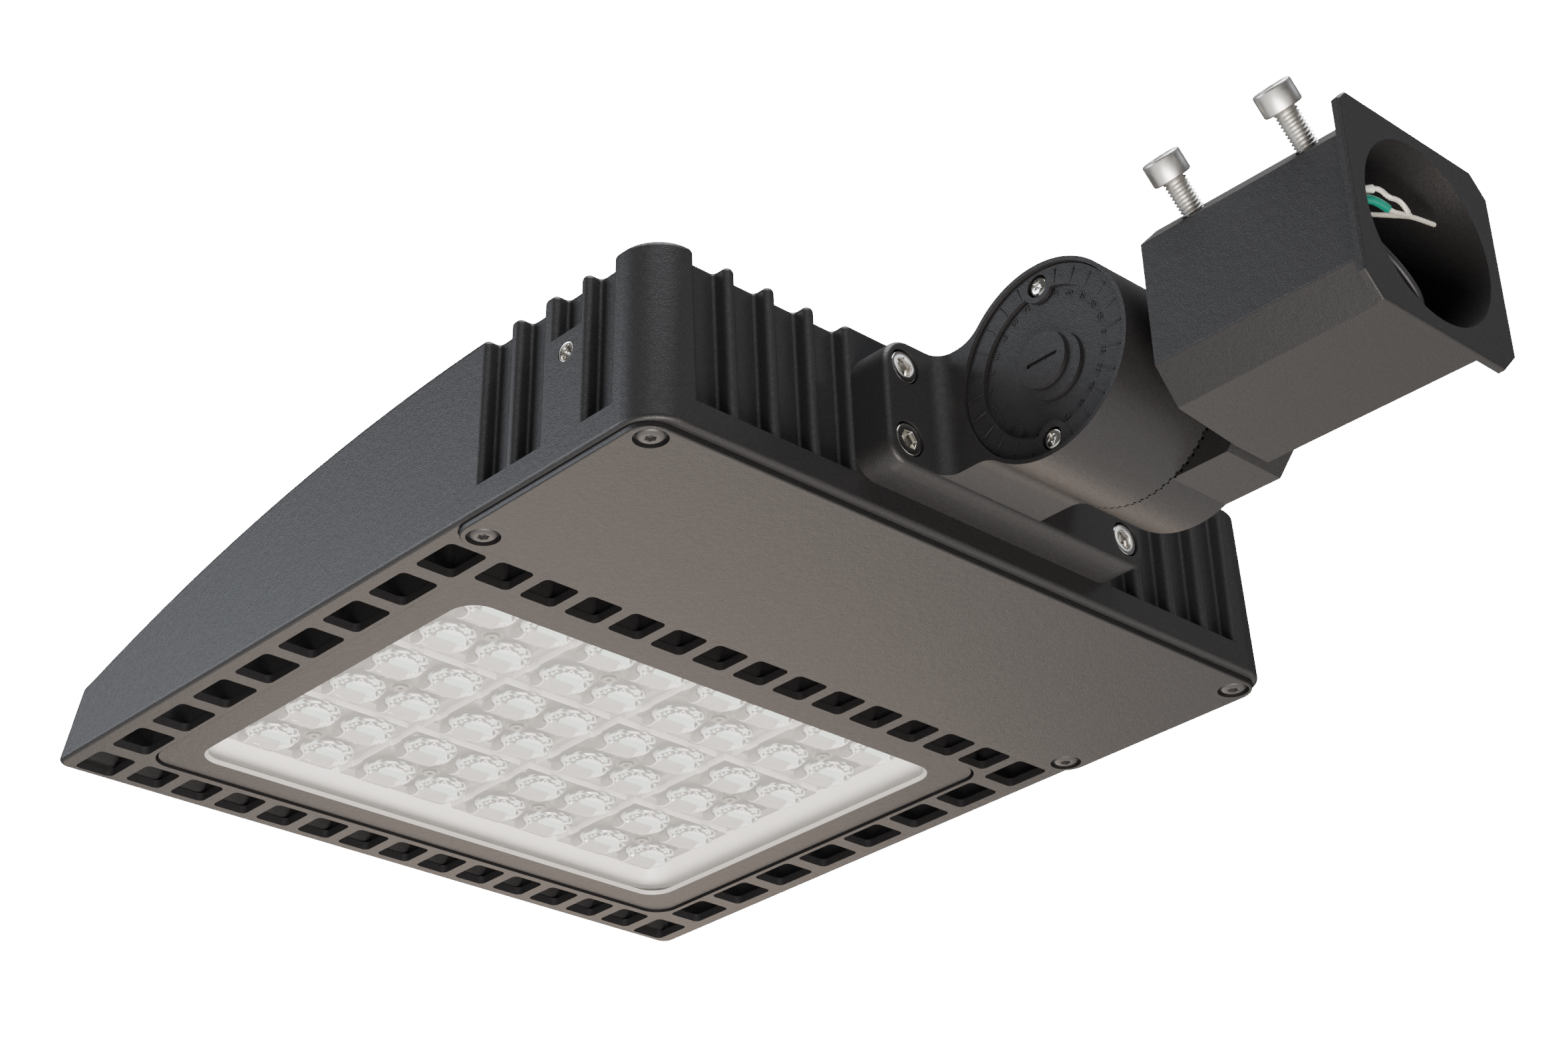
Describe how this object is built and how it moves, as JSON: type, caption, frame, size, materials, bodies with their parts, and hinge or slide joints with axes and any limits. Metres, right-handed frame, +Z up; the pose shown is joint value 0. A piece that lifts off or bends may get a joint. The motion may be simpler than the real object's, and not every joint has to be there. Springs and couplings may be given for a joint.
{
  "type": "led street light head",
  "caption": "Flat die-cast street light head with a lens window, vents round it, a driver box and a toothed tilting knuckle with a clamped socket for a pole's tenon.",
  "frame": {"origin": "middle of the tenon socket's mouth, on its axis", "axes": "+Y out of the socket towards the pole, +Z up with the lamp window facing down, +X to the side of the protractor cap"},
  "size_m": [0.2998, 0.5101, 0.0848],
  "materials": {
    "graphite_coat": "fine-textured dark graphite powder coat",
    "window_clear": "clear tempered pane",
    "clear_lens": "clear moulded acrylic with a faint mint tint",
    "satin_tray": "pale satin",
    "white_board": "white solder mask on an aluminium board",
    "yellow_chip": "phosphor yellow",
    "stainless": "bright stainless steel",
    "black_screw": "black-oxide steel",
    "seal_rubber": "black silicone rubber",
    "driver_case": "plain extruded aluminium",
    "surge_case": "black moulded plastic",
    "terminal_body": "white moulded plastic",
    "white_sleeve": "white flexible insulation",
    "green_sleeve": "green flexible insulation",
    "black_sleeve": "black flexible insulation",
    "tinned_strand": "tinned twisted copper strands"
  },
  "bodies": {
    "head": {"housing": "graphite_coat", "window_frame": "graphite_coat", "driver_cover": "graphite_coat", "bracket": "graphite_coat", "protractor_cap": "graphite_coat", "window_glass": "window_clear", "reflector_tray": "satin_tray", "led_board": "white_board", "led_chips": "yellow_chip", "lens_screws": "stainless", "cover_screws": "black_screw", "window_seal": "seal_rubber", "cover_seal": "seal_rubber", "bracket_seal": "seal_rubber", "lead_grommet": "seal_rubber", "driver": "driver_case", "surge_protector": "surge_case", "terminal_block": "terminal_body", "roof_screws": "stainless", "side_insert_left": "stainless", "side_insert_right": "stainless", "bracket_screws": "stainless", "cap_screws": "stainless", "pivot_bolt": "stainless", "pivot_washer": "stainless", "pivot_nut": "stainless", "lens_module_01": "clear_lens", "lens_module_02": "clear_lens", "lens_module_03": "clear_lens", "lens_module_04": "clear_lens", "lens_module_05": "clear_lens", "lens_module_06": "clear_lens", "lens_module_07": "clear_lens", "lens_module_08": "clear_lens", "lens_module_09": "clear_lens", "lens_module_10": "clear_lens", "lens_module_11": "clear_lens", "lens_module_12": "clear_lens"},
    "socket": {"slipfitter": "graphite_coat", "duct_grommet": "seal_rubber", "lead_white": "white_sleeve", "lead_green": "green_sleeve", "lead_black": "black_sleeve", "lead_ends": "tinned_strand"},
    "near_clamp": {"clamp_screw_near": "stainless"},
    "far_clamp": {"clamp_screw_far": "stainless"}
  },
  "joints": [
    {"name": "tilt", "type": "hinge", "parent": "head", "child": "socket", "pos_m": [0, -0.1227, 0], "axis": [1, 0, 0], "range_deg": [-90, 90]},
    {"name": "near_clamp_slide", "type": "slide", "parent": "socket", "child": "near_clamp", "axis": [-0.7071, 0, -0.7071], "range_m": [0, 0.0119]},
    {"name": "far_clamp_slide", "type": "slide", "parent": "socket", "child": "far_clamp", "axis": [-0.7071, 0, -0.7071], "range_m": [0, 0.0133]}
  ]
}
